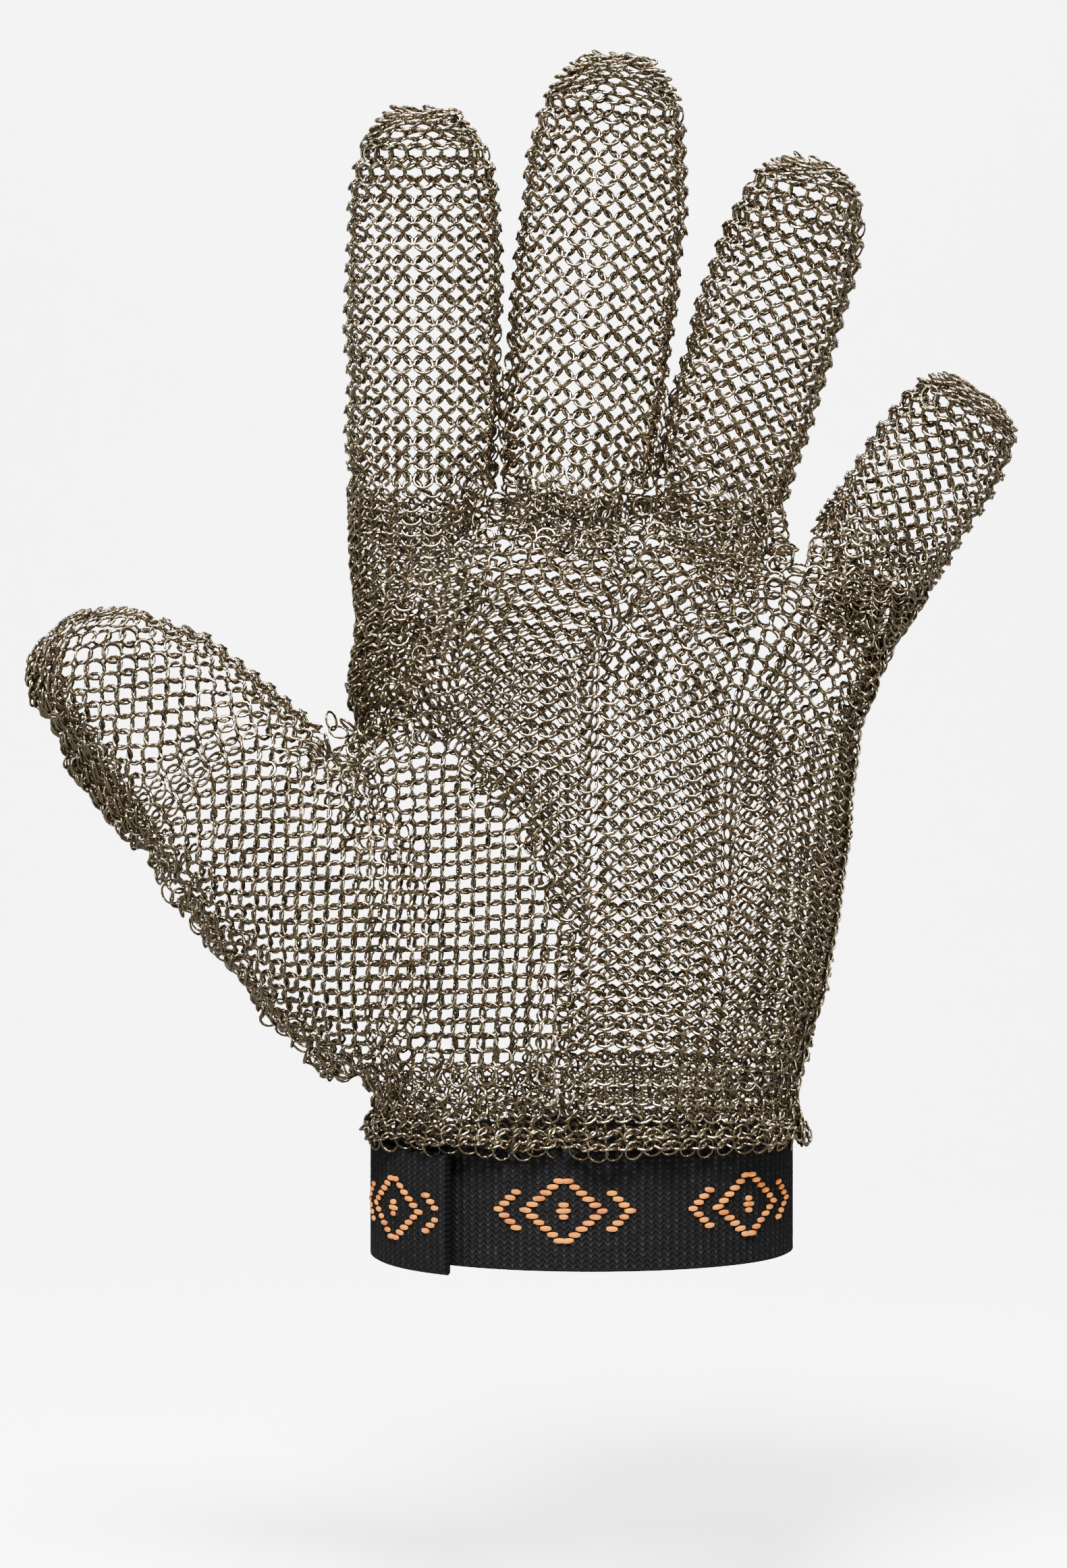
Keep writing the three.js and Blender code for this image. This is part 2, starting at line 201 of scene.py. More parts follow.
def smooth(values, sigma, axis, wrap=False):
    """Gaussian smoothing along one axis, with the ends held or wrapped."""
    reach = max(1, int(3 * sigma))
    weights = np.exp(-0.5 * (np.arange(-reach, reach + 1) / sigma) ** 2)
    weights /= weights.sum()
    values = np.moveaxis(values, axis, 0)
    mode = "wrap" if wrap else "reflect"
    kind = {} if wrap else {"reflect_type": "odd"}
    padded = np.pad(values, [(reach, reach)] + [(0, 0)] * (values.ndim - 1), mode, **kind)
    result = sum(w * padded[i : i + len(values)] for i, w in enumerate(weights))
    return np.moveaxis(result, 0, axis)


def arc(points):
    """Length along a line of points, from its first point."""
    return np.concatenate([[0], np.cumsum(norm(np.diff(points, axis=0), axis=1))])


def along(line, lengths, wanted):
    """Points of a line at the wanted lengths."""
    return np.stack([np.interp(wanted, lengths, line[:, i]) for i in range(line.shape[1])], 1)


def lean_axes(lean):
    """Axis and across direction in the front view, for a lean in degrees."""
    a = math.radians(lean)
    return np.array([math.sin(a), math.cos(a)]), np.array([math.cos(a), -math.sin(a)])


def smoothstep(value, low, high):
    """0 up to low, 1 from high on, and a smooth rise between."""
    t = np.clip((np.asarray(value, float) - low) / (high - low), 0, 1)
    return t * t * (3 - 2 * t)


def bump(distance, width):
    """1 at no distance, falling smoothly to nearly 0 at twice the width."""
    return np.exp(-((distance / width) ** 2))


def running_sum(density, step=1.0):
    """Sum of a density from its first place on."""
    return np.concatenate([[0], np.cumsum((density[1:] + density[:-1]) / 2 * step)])


def ring_frames(grid, wrap):
    """Row direction and outward normal at each place of a grid of ring places."""
    row = np.roll(grid, -1, 1) - np.roll(grid, 1, 1)
    if not wrap:
        row[:, 0] = 2 * (grid[:, 1] - grid[:, 0])
        row[:, -1] = 2 * (grid[:, -1] - grid[:, -2])
    column = np.empty_like(grid)
    column[1:-1] = grid[2:] - grid[:-2]
    column[0] = 2 * (grid[1] - grid[0])
    column[-1] = 2 * (grid[-1] - grid[-2])
    normal = np.cross(row, column)
    normal /= np.maximum(norm(normal, axis=2, keepdims=True), 1e-9)
    return row, normal


def crumple(points, size, seed):
    """Smooth waves over space, about -1 to 1, with bumps of about the given size."""
    rng = np.random.default_rng(SEED * seed)
    total = np.zeros(points.shape[:-1])
    for _ in range(7):
        way = rng.normal(size=3)
        way *= math.pi / size * rng.uniform(0.7, 1.4) / norm(way)
        total += np.sin(points @ way + rng.uniform(0, 2 * math.pi))
    return total / 2.6


def lay_rings(grid, wrap, keep, loose, phase=0, tip=0.0):
    """Rings of a grid whose columns step by half a pitch. Every other place takes a ring.

    keep says which places may, loose how much a ring's pose strays, and tip adds to its turn.
    Returns centres (n, 3), turns (n, 3, 3) and each ring's column in the grid."""
    row, normal = ring_frames(grid, wrap)
    rows, halves = grid.shape[:2]
    r, c = np.meshgrid(np.arange(rows), np.arange(halves), indexing="ij")
    taken = ((r + c + phase) % 2 == 0) & keep
    r, c = r[taken], c[taken]
    row, normal = row[r, c], normal[r, c]
    centre = grid[r, c] - RING_INSET * normal
    across = norm(row, axis=1)
    u = row / across[:, None]
    v = np.cross(normal, u)
    slack = loose[r, c]
    tipped = np.broadcast_to(tip, grid.shape[:2])[r, c]
    rng = np.random.default_rng(SEED + len(r))
    noise = rng.normal(0, 1, (len(r), 5))
    scatter = ANGLE_SCATTER[0] + ANGLE_SCATTER[1] * slack
    turn = np.interp(across, PITCH_ACROSS, RING_TURN) + noise[:, 0] * scatter
    lean = np.interp(across, PITCH_ACROSS, RING_LEAN) + noise[:, 1] * scatter
    nod = np.interp(across, PITCH_ACROSS, RING_NOD)
    sign = np.where(r % 2 == 0, 1.0, -1.0)
    turn = np.radians(turn + tipped) * sign - np.radians(nod)
    lean = np.radians(lean) * sign
    # turned about the row, then leaned about the column
    n1 = np.cos(turn)[:, None] * normal - np.sin(turn)[:, None] * v
    v1 = np.cos(turn)[:, None] * v + np.sin(turn)[:, None] * normal
    cos, sin = np.cos(lean)[:, None], np.sin(lean)[:, None]

    def swing(vec):
        along_v = np.sum(vec * v, 1, keepdims=True) * v
        return along_v + cos * (vec - along_v) + sin * np.cross(v, vec)

    turns = np.stack([swing(u), swing(v1), swing(n1)], 2)
    centre = centre + noise[:, 2:5] * (PLACE_SCATTER[0] + PLACE_SCATTER[1] * slack)[:, None]
    return centre, turns, c


# ---- stalls
def stall_levels(tree, spot, low, high, step=0.8, half=80):
    """Closed outlines of a stall across its axis. Point 0 is the left edge and point `half`
    the right one, and front and back points at the same place across lie behind each other."""
    axis, across = lean_axes(spot["lean"])
    levels, outlines = [], []
    for s in np.arange(low, high, step):
        found = cut(tree, np.array(spot["mouth"]) + s * axis, across, -30, 30)
        if found is None:
            break
        _, front, back, lengths = found
        wanted = np.linspace(0, lengths[-1], half + 1)
        front, back = along(front, lengths, wanted), along(back, lengths, wanted)
        outlines.append(np.concatenate([front, back[-2:0:-1]]))
        levels.append(s)
    outlines = smooth(np.array(outlines), 1.5, 0)
    return np.array(levels), smooth(outlines, 2.0, 1, wrap=True)


def stall_rows(levels, outlines, pitch, count, gather, narrow=3.2, tip_zone=22):
    """Rows of a stall from its root to its tip: outline, length round, ring count and height.

    gather crowds the rows near the root. In the tip zone a row has fewer rings, so that they
    stay at least narrow apart."""
    size = np.array([arc(np.vstack([o, o[:1]]))[-1] for o in outlines])
    middle = outlines.mean(1)
    shrink = np.diff(size) / (2 * math.pi)
    rise = np.hypot(norm(np.diff(middle, axis=0), axis=1), shrink)
    climb = np.concatenate([[0], np.cumsum(rise)])
    fine = np.linspace(0, climb[-1] - pitch * 0.3, 600)
    filled = running_sum(1 + gather * bump(fine, 7.0), fine[1] - fine[0])
    rows = []
    for place in np.interp(np.arange(0, filled[-1], pitch), filled, fine):
        i = min(int(np.searchsorted(climb, place, side="right")) - 1, len(levels) - 2)
        f = (place - climb[i]) / max(climb[i + 1] - climb[i], 1e-9)
        outline = outlines[i] * (1 - f) + outlines[i + 1] * f
        total = size[i] * (1 - f) + size[i + 1] * f
        number = count
        while number > 4 and total / number < narrow and place > climb[-1] - tip_zone:
            number -= 2
        rows.append((np.vstack([outline, outline[:1]]), total, number, place))
    return rows


def place_round(loop, total, number, bunch):
    """Ring places round a closed outline from the middle of its front, and how far each is
    from its left edge. bunch crowds the places at the left edge."""
    share = np.linspace(0, 1, 721)
    left = np.minimum(share, 1 - share) * total
    filled = running_sum(1 + bunch * bump(left, 8.0))
    filled /= filled[-1]
    steps = (0.25 + np.arange(2 * number) / (2 * number)) % 1.0
    at = np.interp(steps, filled, share)
    return along(loop, np.linspace(0, 1, len(loop)), at), np.minimum(at, 1 - at) * total


def stall_rings(tree, spot, pitch, low, gather, bunch=None, slack=0.0):
    """Rings of a stall, row by row, with fewer in a row as its tip closes.

    bunch says how much a row crowds at its left edge, and slack how loose the rings are there."""
    levels, outlines = stall_levels(tree, spot, low, spot["length"] + 2)
    rows = stall_rows(levels, outlines, pitch, spot["round"], gather)
    centres, turns = [], []
    first = 0
    for number, group in groupby(rows, key=lambda row: row[2]):
        last = first + len(list(group))
        wanted = np.arange(first - 1, last + 1)
        grid, left = [], []
        for i in wanted:
            loop, total, _, place = rows[min(max(i, 0), len(rows) - 1)]
            points, distance = place_round(loop, total, number, bunch(place) if bunch else 0.0)
            grid.append(points)
            left.append(distance)
        grid, left = np.array(grid), np.array(left)
        if first == 0:
            grid[0] = 2 * grid[1] - grid[2]
        if last == len(rows):
            grid[-1] = 2 * grid[-2] - grid[-3]
        keep = np.ones(grid.shape[:2], bool)
        keep[0] = keep[-1] = False
        # the same stagger runs on from group to group
        if first % 2 == 0:
            grid, left = np.roll(grid, 1, 1), np.roll(left, 1, 1)
        near_left = slack * bump(left, 8.0)
        loose = 0.6 * smoothstep(wanted, len(rows) - 9, len(rows))[:, None] + near_left
        _, normal = ring_frames(grid, True)
        waves = crumple(grid, 6.0, 3) * (0.25 + 0.6 * near_left)
        centre, turn, _ = lay_rings(grid + normal * waves[..., None], True, keep, loose)
        centres.append(centre)
        turns.append(turn)
        first = last
    return np.concatenate(centres), np.concatenate(turns)


def crotch_rings(tree):
    """Rings that join the sides of two fingers between them, from palm to back."""
    centres, turns = [], []
    for x, z in CROTCHES:
        front = tree.ray_cast(Vector((x, -FAR, z - 2.0)), Vector((0, 1, 0)))[0].y + 1.5
        back = tree.ray_cast(Vector((x, FAR, z - 2.0)), Vector((0, -1, 0)))[0].y - 1.5
        number = max(2, int((back - front) / 2.6))
        for i, y in enumerate(np.linspace(front, back, number + 1)):
            sag = 1.6 * (2 * (y - front) / (back - front) - 1) ** 2
            for side in (-1.1, 1.1) if i % 2 else (0.0,):
                # facing the palm in front, upwards between and the back behind
                tilt = math.radians((22 if i % 2 else -22) + 60 * (2 * i / number - 1))
                u = np.array([1.0, 0.0, 0.0])
                n = np.array([0.0, math.sin(tilt), math.cos(tilt)])
                centres.append((x + side, y, z - 0.6 - sag))
                turns.append(np.stack([u, np.cross(n, u), n], 1))
    return np.array(centres), np.array(turns)


# ---- hand
def inside(points, outline):
    """Which (x, z) points lie inside a closed outline."""
    x, z = points[..., 0], points[..., 1]
    found = np.zeros(x.shape, bool)
    for (x0, z0), (x1, z1) in zip(outline, outline[1:] + outline[:1]):
        crosses = (z0 > z) != (z1 > z)
        with np.errstate(divide="ignore", invalid="ignore"):
            at = (x1 - x0) * (z - z0) / ((z1 - z0) or 1e-9) + x0
        found ^= crosses & (x < at)
    return found


def seam_distance(points, seam):
    """Distance of (x, z) points from an open line."""
    best = np.full(points.shape[:-1], 1e9)
    for a, b in zip(seam, seam[1:]):
        a, b = np.array(a, float), np.array(b, float)
        t = np.clip(((points - a) @ (b - a)) / ((b - a) @ (b - a)), 0, 1)
        best = np.minimum(best, norm(points - (a + t[..., None] * (b - a)), axis=-1))
    return best


def fold_depth(flat, folds):
    """How deep the folds sink at (x, z) points."""
    return sum(deep * bump(seam_distance(flat, line), wide) for line, deep, wide in folds)


def root_height(x):
    """Height of the line where the finger stalls start."""
    xs, zs = zip(*ROOT_LINE)
    return np.interp(x, xs, zs)


def root_columns(trees):
    """Where each finger's front columns start, as (x, z) rows in the middle plane."""
    places = []
    for name, spot in STALLS.items():
        axis, across = lean_axes(spot["lean"])
        at = np.array(spot["mouth"]) + ROOT_GAP * axis
        w, _, _, lengths = cut(trees[name], at, across, -30, 30)
        share = 0.5 + 2 * (np.arange(FINGER_COLUMNS) - (FINGER_COLUMNS - 1) / 2) / spot["round"]
        places.append(at + np.interp(share * lengths[-1], lengths, w)[:, None] * across)
    return np.concatenate(places)


def hand_grid(tree, trees, rows):
    """Ring places round the palm and back, from the wrist to the fingers' roots, with each
    place's column and whether it is in front. A back column has the number of the front's."""
    halves = 2 * PALM_ROUND
    column = np.arange(halves) / 2 + LEFT_COLUMN
    end = LEFT_COLUMN + PALM_ROUND / 2
    front = column <= end
    own = np.where(front, column, 2 * LEFT_COLUMN + PALM_ROUND - column)
    tops = root_columns(trees)
    number = np.arange(4 * FINGER_COLUMNS)
    top_z = np.interp(own, number, tops[:, 1])
    heights = np.arange(19.0, 142.5, 1.5)
    table = np.zeros((len(heights), halves, 3))
    for level, z in enumerate(heights):
        level_z = max(z, WRIST_EDGE)
        # between the wrist and the index finger's root, the thumb's side is left to the thumb
        edge = -43.4 if 30 < z < 106 else -60
        w, ahead, behind, lengths = cut(tree, (0.0, level_z), (1.0, 0.0), edge, 85)
        seam = np.interp(-2.2, w, lengths)
        even = np.interp(own, [LEFT_COLUMN, SEAM_COLUMN, end], [0, seam, lengths[-1]])
        roots = np.interp(tops[:, 0], w, lengths)
        top = np.interp(own, [LEFT_COLUMN, *number, end], [0, *roots, lengths[-1]])
        blend = smoothstep(z, top_z - 36, top_z - 3)
        wanted = even * (1 - blend) + top * blend
        table[level] = np.where(
            front[:, None], along(ahead, lengths, wanted), along(behind, lengths, wanted)
        )
        table[level, :, 2] += z - level_z
    table = smooth(smooth(table, 1.2, 0), 1.0, 1, wrap=True)
    grid = np.zeros((rows, halves, 3))
    for c in range(halves):
        z = np.linspace(WRIST_ROW, top_z[c] - 1.7, 200)
        density = np.ones(200)
        index_side = 1 - smoothstep(own[c], 2.5, 8)
        density += 0.6 * index_side * bump(z - 110, 11)
        little_side = smoothstep(own[c], 19, 24)
        density += 0.5 * little_side * bump(z - top_z[c] + 6, 7)
        # gathers hang in an arc below each finger's root
        place = (own[c] + 0.5) / FINGER_COLUMNS % 1.0
        hang = 2.5 + 7.0 * (1 - (2 * place - 1) ** 2)
        density += 0.7 * bump(z - top_z[c] + hang, 5.0)
        density += 0.5 * bump(z - WRIST_ROW, 6)
        filled = running_sum(density)
        z_rows = np.interp(np.linspace(0, filled[-1], rows), filled, z)
        grid[:, c] = along(table[:, c], heights, z_rows)
    return grid, own, front


def run_on(line, reach=10.0):
    """A line carried straight on past its first point."""
    way = line[0] - line[6]
    return np.vstack([line[0] + way / norm(way) * reach, line])


def thumb_root_grids(tree, thumb_tree, pitch):
    """Ring places on the thumb's root, in line with the thumb's own columns: front, back and
    left edge, with how far the front's places are from that edge.

    Columns are counted both ways from the line up the middle of the front."""
    axis, across = lean_axes(THUMB["lean"])
    mouth = np.array(THUMB["mouth"])
    w, _, _, total = cut(thumb_tree, mouth + (THUMB_GAP + 1) * axis, across, -30, 30)
    middle = np.interp(total[-1] / 2, total, w)
    across_pitch = 2 * total[-1] / THUMB["round"]
    steps = np.arange(-40, 61) / 2.0
    levels = THUMB_GAP - pitch / FINE * np.arange(1, 55 * FINE)
    shape = (len(levels), len(steps))
    ahead, behind = np.full(shape + (3,), np.nan), np.full(shape + (3,), np.nan)
    rim, edge = np.full((len(levels), 3, 3), np.nan), np.full(shape, 99.0)
    for i, s in enumerate(levels):
        found = cut(tree, mouth + s * axis, across, -60, 75)
        if found is None:
            continue
        w, front, back, lengths = found
        is_open = norm(front[0] - back[0]) > 5
        if is_open:
            w = np.concatenate([[w[0] - 10.0], w])
            front, back = run_on(front), run_on(back)
            lengths = mean_arc(front, back)
        wanted = np.interp(middle, w, lengths) + steps * across_pitch
        good = (wanted >= (0.0 if is_open else 1.3)) & (wanted <= lengths[-1])
        inside_cut = np.clip(wanted, 0, lengths[-1])
        ahead[i], behind[i] = along(front, lengths, inside_cut), along(back, lengths, inside_cut)
        ahead[i][~good] = behind[i][~good] = np.nan
        if not is_open:
            edge[i] = wanted
            rim[i] = along(back, lengths, [1.5])[0], front[0], along(front, lengths, [1.5])[0]
    return ahead[::-1], behind[::-1], rim[::-1], edge[::-1]


def steady(grid, reach=4):
    """Rows a full pitch apart, each the median of the rows near it, without odd ones."""
    ends = [np.repeat(grid[:1], reach, 0), grid, np.repeat(grid[-1:], reach, 0)]
    padded = np.concatenate(ends)
    near = [padded[k : k + len(grid)] for k in range(2 * reach + 1)]
    return every_fourth(np.median(near, axis=0))


def every_fourth(rows):
    """Rows a full pitch apart, counted from the last."""
    return rows[-FINE::-FINE][::-1]


def fill(grid):
    """A grid's rows that have any place, their missing places filled from the nearest, which
    places those were, and which rows are left."""
    bad = np.isnan(grid[..., 0])
    some = ~bad.all(1)
    filled, bad = grid[some].copy(), bad[some]
    for row, missing in zip(filled, bad):
        good = np.where(~missing)[0]
        for k in range(3):
            row[:, k] = np.interp(np.arange(len(row)), good, row[good, k])
    return filled, bad, some


def project(points):
    """(x, z) of points as seen from the eye, in the middle plane."""
    scale = -EYE[1] / (points[..., 1] - EYE[1])
    return EYE[[0, 2]] + (points[..., [0, 2]] - EYE[[0, 2]]) * scale[..., None]


def near_seam(flat, height):
    """Distance of places, as seen, from the thumb's seam, and how much they belong to it."""
    distance = seam_distance(flat, THUMB_SEAM)
    return distance, bump(distance, 3.0) * (height < SEAM_TOP)


def shape_mail(grid, wrap, near, sink, rough):
    """Grid moved off the surface: out at the wrist, in along the seam and the folds, and in
    and out in small waves, with an uneven lower edge."""
    height = grid[..., 2]
    _, normal = ring_frames(grid, wrap)
    flare = 1.9 * (1 - smoothstep(height, 20.5, 26.5))
    waves = crumple(grid, 5.5, 5) * rough
    shaped = grid + normal * (flare - 1.5 * near - sink + waves)[..., None]
    shaped[..., 2] += crumple(grid, 7.0, 9) * 0.4 * (1 - smoothstep(height, 21, 25))
    return shaped


def palm_and_back_rings(tree, trees):
    """Rings of the hand's own mesh, up to the thumb's seam and the fingers' roots."""
    grid, own, front = hand_grid(tree, trees, HAND_ROWS)
    flat = project(grid)
    height = grid[..., 2]
    distance, near = near_seam(flat, height)
    keep = ~inside(flat, THUMB_SEAM + THUMB_FAR) | (distance < 0.4) | (height < WRIST_BAND)
    between = np.abs((own + 0.5) % FINGER_COLUMNS) < 0.3
    between &= (own > 0) & (own < 4 * FINGER_COLUMNS - 1)
    keep &= ~(between[None, :] & (flat[..., 1] > root_height(flat[..., 0]) - 0.5))
    keep &= height > WRIST_KEPT
    folds = np.where(front[None, :], fold_depth(flat, PALM_FOLDS), fold_depth(flat, BACK_FOLDS))
    gather = near + np.abs(folds) * 0.45
    gather += 0.5 * (1 - smoothstep(own, 3, 8))[None, :] * bump(height - 110, 11)
    gather += 0.35 * smoothstep(own, 19, 24)[None, :] * smoothstep(height, 95, 112)
    # the heel by the little finger's side and the whole wrist edge lie crumpled
    heel = smoothstep(own, 19, 25)[None, :] * (1 - smoothstep(height, 26, 62))
    wrist = 1 - smoothstep(height, 22, 30)
    gather += 0.7 * heel + 0.4 * wrist
    rough = 0.3 + 0.4 * np.clip(heel + wrist, 0, 1)
    shaped = shape_mail(grid, True, near, folds, rough)
    tip = 12 * (1 - smoothstep(height, 21.5, 24.5))
    centres, turns, c = lay_rings(shaped, True, keep, np.clip(gather, 0, 1.3), tip=tip)
    is_front = front[c]
    high = centres[:, 2] > HEEL_TOP
    picks = {
        "palm_rings_upper": is_front & high,
        "palm_rings_heel": is_front & ~high,
        "back_rings_upper": ~is_front & high,
        "back_rings_heel": ~is_front & ~high,
    }
    return {name: (centres[pick], turns[pick]) for name, pick in picks.items()}


def thumb_root_rings(tree, thumb_tree):
    """Rings of the thumb's root, from the wrist's band up to the thumb and the seam."""
    pieces = {}
    ahead, behind, rim, edge = thumb_root_grids(tree, thumb_tree, THUMB_PITCH)
    for name, sheet in (("palm", ahead), ("back", behind), ("edge", rim)):
        filled, bad, rows = fill(sheet)
        from_edge = edge[rows]
        if name == "edge":
            from_edge = np.zeros(filled.shape[:2])
        elif name == "back":
            filled, bad, from_edge = filled[:, ::-1], bad[:, ::-1], from_edge[:, ::-1]
        bad, from_edge = every_fourth(bad), every_fourth(from_edge)
        filled = smooth(steady(filled), 1.0, 0)
        flat = project(filled)
        height = filled[..., 2]
        distance, near = near_seam(flat, height)
        keep = inside(flat, THUMB_SEAM + THUMB_FAR) | (distance < 0.4)
        keep &= ~bad & (height > WRIST_BAND - 0.5)
        if name == "edge":
            keep[:, [0, 2]] = False
        wrist = 1 - smoothstep(height, 22, 30)
        strip = bump(from_edge, 9.0)
        rough = 0.3 + 0.6 * np.clip(strip + wrist, 0, 1)
        shaped = shape_mail(filled, False, near, 0.0, rough)
        loose = np.clip(near + 0.4 * wrist + 0.9 * strip, 0, 1.3)
        phase = len(shaped) + (1 if name == "edge" else 0)
        centres, turns, _ = lay_rings(shaped, False, keep, loose, phase)
        pieces[f"thumb_root_rings_{name}"] = (centres, turns)
    return pieces


# ---- making meshes
def clear_selection():
    bpy.ops.object.select_all(action="DESELECT")


def take_shape():
    """Points and faces of the object just made, which is removed again."""
    made = bpy.context.object
    mesh = made.data
    points = np.array([v.co for v in mesh.vertices])
    faces = [tuple(p.vertices) for p in mesh.polygons]
    bpy.data.objects.remove(made)
    bpy.data.meshes.remove(mesh)
    return points, faces


def new_object(name, data):
    """A new object in the scene."""
    made = bpy.data.objects.new(name, data)
    bpy.context.scene.collection.objects.link(made)
    return made


def mesh_piece(name, points, faces, material):
    """A new object of points in metres and faces."""
    mesh = bpy.data.meshes.new(name)
    mesh.from_pydata(points, [], faces)
    mesh.update()
    mesh.materials.append(material)
    return new_object(name, mesh)


def face_outwards(piece):
    """Turn all of a closed mesh's faces outwards."""
    clear_selection()
    piece.select_set(True)
    bpy.context.view_layer.objects.active = piece
    bpy.ops.object.mode_set(mode="EDIT")
    bpy.ops.mesh.select_all(action="SELECT")
    bpy.ops.mesh.normals_make_consistent(inside=False)
    bpy.ops.object.mode_set(mode="OBJECT")


def link_shape(settings):
    """One ring, modelled once: its points in millimetres and its faces."""
    clear_selection()
    bpy.ops.mesh.primitive_torus_add(
        major_segments=settings.ring_sides,
        minor_segments=settings.wire_sides,
        major_radius=settings.ring_outside / 2 - settings.wire / 2,
        minor_radius=settings.wire / 2,
    )
    points, faces = take_shape()
    return points / MM, np.array(faces)


def ring_piece(name, centres, turns, shape, material, replaced):
    """Copies of the ring at every place, joined in one mesh."""
    points, faces = shape
    count = len(centres)
    world = np.einsum("nij,pj->npi", turns, points) + centres[:, None, :]
    verts = (world.reshape(-1, 3) * MM).astype(np.float32)
    loops = (faces[None] + (np.arange(count) * len(points))[:, None, None]).reshape(-1)
    mesh = bpy.data.meshes.new(name)
    mesh.vertices.add(len(verts))
    mesh.vertices.foreach_set("co", verts.ravel())
    mesh.loops.add(len(loops))
    mesh.loops.foreach_set("vertex_index", loops.astype(np.int32))
    total = count * len(faces)
    mesh.polygons.add(total)
    mesh.polygons.foreach_set("loop_start", (np.arange(total) * faces.shape[1]).astype(np.int32))
    mesh.update(calc_edges=True)
    mesh.polygons.foreach_set("use_smooth", np.ones(total, bool))
    tone = mesh.attributes.new("tone", "FLOAT", "POINT")
    rng = np.random.default_rng(SEED + count)
    tone.data.foreach_set("value", np.repeat(rng.random(count), len(points)).astype(np.float32))
    mesh.validate()
    mesh.materials.append(material)
    piece = new_object(name, mesh)
    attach(piece, "root")
    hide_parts(replaced)


# ---- strap
# An oval band from the start angle to the end. Over the ramp it climbs on to its first end.
STRAP = dict(half_width=34.9, half_depth=24.2, shift=1.9, start=164.0, end=589.0, ramp=45.0)
STRAP |= dict(lift=2.9, thick=1.5, tall=21.0, drop=1.2)
# The band's UV map in units per metre.
UV_SCALE = 10


def strap_point(degrees, outwards):
    """A place on the strap, counted outwards from its inner face."""
    s = STRAP
    degrees = np.asarray(degrees, float)
    climb = smoothstep(degrees, s["start"] + 360 - s["ramp"], s["start"] + 358)
    a = np.radians(degrees)
    n = np.stack([np.cos(a) / s["half_width"], np.sin(a) / s["half_depth"]], -1)
    n /= norm(n, axis=-1, keepdims=True)
    lift = climb * s["lift"] + outwards
    x = s["shift"] + s["half_width"] * np.cos(a) + n[..., 0] * lift
    y = s["half_depth"] * np.sin(a) + n[..., 1] * lift
    return np.stack([x, y], -1), n


def strap_drop(degrees):
    """How far the band hangs lower on its last stretch."""
    return STRAP["drop"] * smoothstep(degrees, STRAP["end"] - 130, STRAP["end"])


def strap_lengths():
    """Angle of the strap for each length along its outer face."""
    degrees = np.linspace(STRAP["start"], STRAP["end"], 2400)
    points, _ = strap_point(degrees, STRAP["thick"])
    return degrees, arc(points)


def strap_mesh(name, material, settings):
    """The band, with a rib for each warp thread on its outer face."""
    degrees, lengths = strap_lengths()
    rib = settings.rib_pitch / MM
    per_rib = 4
    steps = int(lengths[-1] / rib) * per_rib
    lengths_at = np.linspace(0, lengths[-1], steps + 1)
    outer_rows, inner_rows = 22, 8
    tall, thick = STRAP["tall"], STRAP["thick"]
    edge = 0.35
    z_outer = np.linspace(edge, tall - edge, outer_rows)
    z_inner = np.linspace(tall - edge, edge, inner_rows)
    profile = [(z, thick, 1.0) for z in z_outer]
    profile += [(tall, thick * 0.6, 0.0), (tall, thick * 0.4, 0.0)]
    profile += [(z, 0.0, 0.0) for z in z_inner]
    profile += [(0.0, thick * 0.4, 0.0), (0.0, thick * 0.6, 0.0)]
    profile = np.array(profile)
    count = len(profile)
    rows = []
    for i, d in enumerate(np.interp(lengths_at, lengths, degrees)):
        relief = 0.15 * abs(math.sin(math.pi * i / per_rib)) - 0.1
        end_roll = smoothstep(i, steps - 7, steps - 4) * 0.35
        out = profile[:, 1] + profile[:, 2] * (relief + end_roll)
        flat, _ = strap_point(np.full(count, d), out)
        rows.append(np.column_stack([flat, profile[:, 0] - strap_drop(d)]))
    verts = np.array(rows).reshape(-1, 3)
    faces = []
    for i in range(steps):
        a = i * count
        for j in range(count):
            k = (j + 1) % count
            faces.append((a + j, a + count + j, a + count + k, a + k))
    faces.append(tuple(range(count)))
    faces.append(tuple(steps * count + j for j in reversed(range(count))))
    band = mesh_piece(name, [tuple(v * MM) for v in verts], faces, material)
    uv = band.data.uv_layers.new(name="along")
    for loop in band.data.loops:
        i, j = divmod(loop.vertex_index, count)
        uv.data[loop.index].uv = (lengths_at[i] * MM * UV_SCALE, profile[j, 0] * MM * UV_SCALE)
    face_outwards(band)
    bpy.ops.object.shade_smooth_by_angle(angle=math.radians(50))
    return band


def motif_places():
    """Where the coloured floats lie: (length along the motif, height, float length). They form
    a diamond round a dot, between two chevrons."""
    pitch = 1.02
    diamond = [(row, (1 - abs(row) / 5.6) * 6.6, 2.0) for row in range(-5, 6)]
    dot = [(0.0, row * pitch, 2.6 if row == 0 else 1.6) for row in (-1, 0, 1)]
    chevron = [(row, 11.4 - abs(row) * 1.05, 1.9) for row in range(-3, 4)]

    def both_sides(floats):
        return [(s * reach, row * pitch, size) for row, reach, size in floats for s in (1, -1)]

    return both_sides(diamond) + dot + both_sides(chevron)


